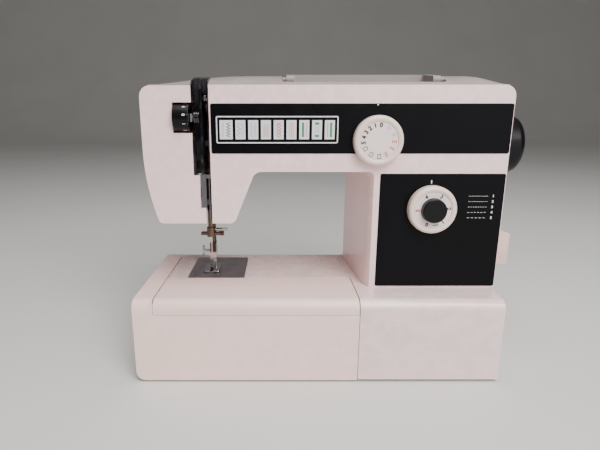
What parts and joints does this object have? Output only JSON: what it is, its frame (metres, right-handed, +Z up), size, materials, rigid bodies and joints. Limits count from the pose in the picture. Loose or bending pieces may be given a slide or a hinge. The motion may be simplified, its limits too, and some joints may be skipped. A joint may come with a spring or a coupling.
{
  "type": "sewing machine",
  "caption": "Free-arm zigzag sewing machine with slide-off extension table, black front panels, turning dials, handwheel, drive train and hook",
  "frame": {"origin": "centre of the bounding box's floor, on the table under the middle of the machine", "axes": "+X along the bed towards the handwheel, +Y from the operator to the back, +Z up"},
  "size_m": [0.416, 0.165, 0.316],
  "materials": {
    "casing_ivory": "moulded gloss, slightly aged",
    "bed_enamel": "gloss enamel over cast aluminium",
    "table_cream": "moulded gloss, a little yellower",
    "terminal_cream": "moulded satin",
    "plinth_grey": "moulded matt",
    "foot_rubber": "matt rubber",
    "plate_steel": "polished steel",
    "panel_black": "high gloss black",
    "window_white": "printed strip under clear plastic",
    "black_gloss": "gloss black",
    "chrome": "bright plated",
    "lever_steel": "plated steel, worn brownish",
    "cast_aluminium": "as cast",
    "shaft_steel": "ground steel",
    "bush_bronze": "sintered bronze",
    "belt_rubber": "moulded rubber",
    "motor_paint": "black enamel",
    "lamp_glass": "frosted glass",
    "cam_nylon": "moulded nylon",
    "knob_cream": "moulded gloss",
    "trim_ivory": "moulded gloss"
  },
  "bodies": {
    "machine": {"bed_casting": "bed_enamel", "free_arm": "bed_enamel", "bottom_plate": "plinth_grey", "rubber_feet": "foot_rubber", "needle_plate": "plate_steel", "screws": "chrome", "arm_frame": "cast_aluminium", "shaft_bushes": "bush_bronze", "front_cover": "casing_ivory", "rear_cover": "casing_ivory", "top_cover": "casing_ivory", "upper_panel": "panel_black", "lower_panel": "panel_black", "pattern_window": "window_white", "slot_liner": "black_gloss", "thread_guides": "chrome", "tension_unit": "chrome", "motor": "motor_paint", "belts": "belt_rubber", "terminal_housing": "terminal_cream", "inlet_pins": "bush_bronze", "bobbin_case": "shaft_steel", "presser_spring": "shaft_steel", "lamp_bulb": "lamp_glass"},
    "drive": {"handwheel": "black_gloss", "main_shaft": "shaft_steel", "crank_disc": "shaft_steel", "upper_pulley": "shaft_steel"},
    "clutch": {"clutch_knob": "black_gloss"},
    "lower_drive": {"lower_shaft": "shaft_steel", "lower_pulley": "shaft_steel", "lower_gear": "shaft_steel"},
    "hook": {"hook": "shaft_steel"},
    "bobbin": {"bobbin": "shaft_steel"},
    "motor_rotor": {"motor_pulley": "shaft_steel"},
    "cams": {"cam_stack": "cam_nylon"},
    "gate": {"needle_gate": "shaft_steel"},
    "needle_bar": {"needle_bar": "chrome", "needle_clamp": "chrome", "needle": "chrome"},
    "con_rod": {"con_rod": "shaft_steel"},
    "take_up": {"take_up_lever": "chrome"},
    "presser": {"presser_bar": "lever_steel", "presser_foot": "chrome", "foot_screw": "chrome"},
    "lifter": {"presser_lifter": "lever_steel"},
    "feed_lift": {"feed_carrier": "shaft_steel"},
    "feed": {"feed_dog": "shaft_steel"},
    "pattern_dial": {"pattern_dial": "knob_cream"},
    "length_dial": {"length_dial": "knob_cream"},
    "reverse_button": {"reverse_button": "black_gloss"},
    "tension_dial": {"tension_dial": "black_gloss"},
    "face_cover": {"face_cover": "casing_ivory"},
    "carry_handle": {"carry_handle": "trim_ivory"},
    "table": {"table_body": "table_cream"},
    "lid": {"table_lid": "table_cream"},
    "shutter": {"shuttle_door": "table_cream"},
    "spool_pins": {"spool_pins": "trim_ivory"},
    "winder": {"bobbin_winder": "trim_ivory"},
    "light_switch": {"light_switch": "black_gloss"}
  },
  "joints": [
    {"name": "handwheel_spin", "type": "hinge", "parent": "machine", "child": "drive", "pos_m": [0.192, 0.0145, 0.2415], "axis": [1, 0, 0], "continuous": true},
    {"name": "clutch_turn", "type": "hinge", "parent": "drive", "child": "clutch", "pos_m": [0.203, 0.0145, 0.2415], "axis": [1, 0, 0], "range_deg": [0, 45]},
    {"name": "lower_shaft_spin", "type": "hinge", "parent": "machine", "child": "lower_drive", "pos_m": [-0.033, 0.0415, 0.064], "axis": [1, 0, 0], "continuous": true},
    {"name": "hook_spin", "type": "hinge", "parent": "machine", "child": "hook", "pos_m": [-0.123, 0.0145, 0.064], "axis": [1, 0, 0], "continuous": true},
    {"name": "bobbin_spin", "type": "hinge", "parent": "machine", "child": "bobbin", "pos_m": [-0.147, 0.0145, 0.064], "axis": [1, 0, 0], "continuous": true},
    {"name": "motor_spin", "type": "hinge", "parent": "machine", "child": "motor_rotor", "pos_m": [0.132, 0.0225, 0.042], "axis": [1, 0, 0], "continuous": true},
    {"name": "cam_spin", "type": "hinge", "parent": "machine", "child": "cams", "pos_m": [-0.058, -0.0125, 0.245], "axis": [0, 0, 1], "continuous": true},
    {"name": "needle_swing", "type": "hinge", "parent": "machine", "child": "gate", "pos_m": [-0.1405, 0.0225, 0.285], "axis": [0, 1, 0], "range_deg": [-0.75, 0.75]},
    {"name": "needle_stroke", "type": "slide", "parent": "gate", "child": "needle_bar", "axis": [0, 0, -1], "range_m": [0, 0.032]},
    {"name": "con_rod_swing", "type": "hinge", "parent": "needle_bar", "child": "con_rod", "pos_m": [-0.129, 0.0145, 0.217], "axis": [1, 0, 0], "range_deg": [-12, 12]},
    {"name": "take_up_swing", "type": "hinge", "parent": "machine", "child": "take_up", "pos_m": [-0.133, 0.0425, 0.24], "axis": [1, 0, 0], "range_deg": [0, 44]},
    {"name": "lifter_turn", "type": "hinge", "parent": "machine", "child": "lifter", "pos_m": [-0.155, 0.0415, 0.182], "axis": [1, 0, 0], "range_deg": [0, 60]},
    {"name": "presser_slide", "type": "slide", "parent": "machine", "child": "presser", "axis": [0, 0, 1], "range_m": [0, 0.006], "deforming": ["presser_spring"]},
    {"name": "feed_lift_slide", "type": "slide", "parent": "machine", "child": "feed_lift", "axis": [0, 0, 1], "range_m": [-0.0025, 0]},
    {"name": "feed_travel", "type": "slide", "parent": "feed_lift", "child": "feed", "axis": [0, 1, 0], "range_m": [-0.002, 0.002]},
    {"name": "pattern_turn", "type": "hinge", "parent": "machine", "child": "pattern_dial", "pos_m": [0.0411, -0.0425, 0.249], "axis": [0, 1, 0], "continuous": true},
    {"name": "length_turn", "type": "hinge", "parent": "machine", "child": "length_dial", "pos_m": [0.1005, -0.0425, 0.1786], "axis": [0, 1, 0], "range_deg": [-198, 90]},
    {"name": "reverse_press", "type": "slide", "parent": "machine", "child": "reverse_button", "axis": [0, 1, 0], "range_m": [0, 0.004], "stiffness_N_per_m": 600, "springref_m": -0.002},
    {"name": "tension_turn", "type": "hinge", "parent": "machine", "child": "tension_dial", "pos_m": [-0.158, -0.0365, 0.2712], "axis": [1, 0, 0], "range_deg": [-130, 130]},
    {"name": "face_open", "type": "hinge", "parent": "machine", "child": "face_cover", "pos_m": [-0.1958, 0.0359, 0.23], "axis": [0, 0, -1], "range_deg": [0, 100]},
    {"name": "handle_lift", "type": "hinge", "parent": "machine", "child": "carry_handle", "pos_m": [0.027, -0.0275, 0.309], "axis": [1, 0, 0], "range_deg": [0, 95]},
    {"name": "table_slide", "type": "slide", "parent": "machine", "child": "table", "axis": [-1, 0, 0], "range_m": [0, 0.23]},
    {"name": "lid_open", "type": "hinge", "parent": "table", "child": "lid", "pos_m": [-0.082, -0.0825, 0.076], "axis": [1, 0, 0], "range_deg": [0, 110]},
    {"name": "shutter_slide", "type": "slide", "parent": "machine", "child": "shutter", "axis": [0, 0, -1], "range_m": [0, 0.026]},
    {"name": "spool_pin_lift", "type": "slide", "parent": "machine", "child": "spool_pins", "axis": [0, 0, 1], "range_m": [0, 0.045]},
    {"name": "winder_swing", "type": "hinge", "parent": "machine", "child": "winder", "pos_m": [0.138, 0.0415, 0.306], "axis": [0, 0, 1], "range_deg": [0, 14]},
    {"name": "switch_rock", "type": "hinge", "parent": "machine", "child": "light_switch", "pos_m": [0.2045, 0.0315, 0.122], "axis": [0, 1, 0], "range_deg": [-7, 7]}
  ],
  "couplings": [
    {"joint": "lower_shaft_spin", "follows": "handwheel_spin", "ratio": 1},
    {"joint": "hook_spin", "follows": "handwheel_spin", "ratio": -2},
    {"joint": "motor_spin", "follows": "handwheel_spin", "ratio": 4},
    {"joint": "cam_spin", "follows": "handwheel_spin", "ratio": 0.05},
    {"joint": "lifter_turn", "follows": "presser_slide", "rad_per_m": 174.5}
  ]
}
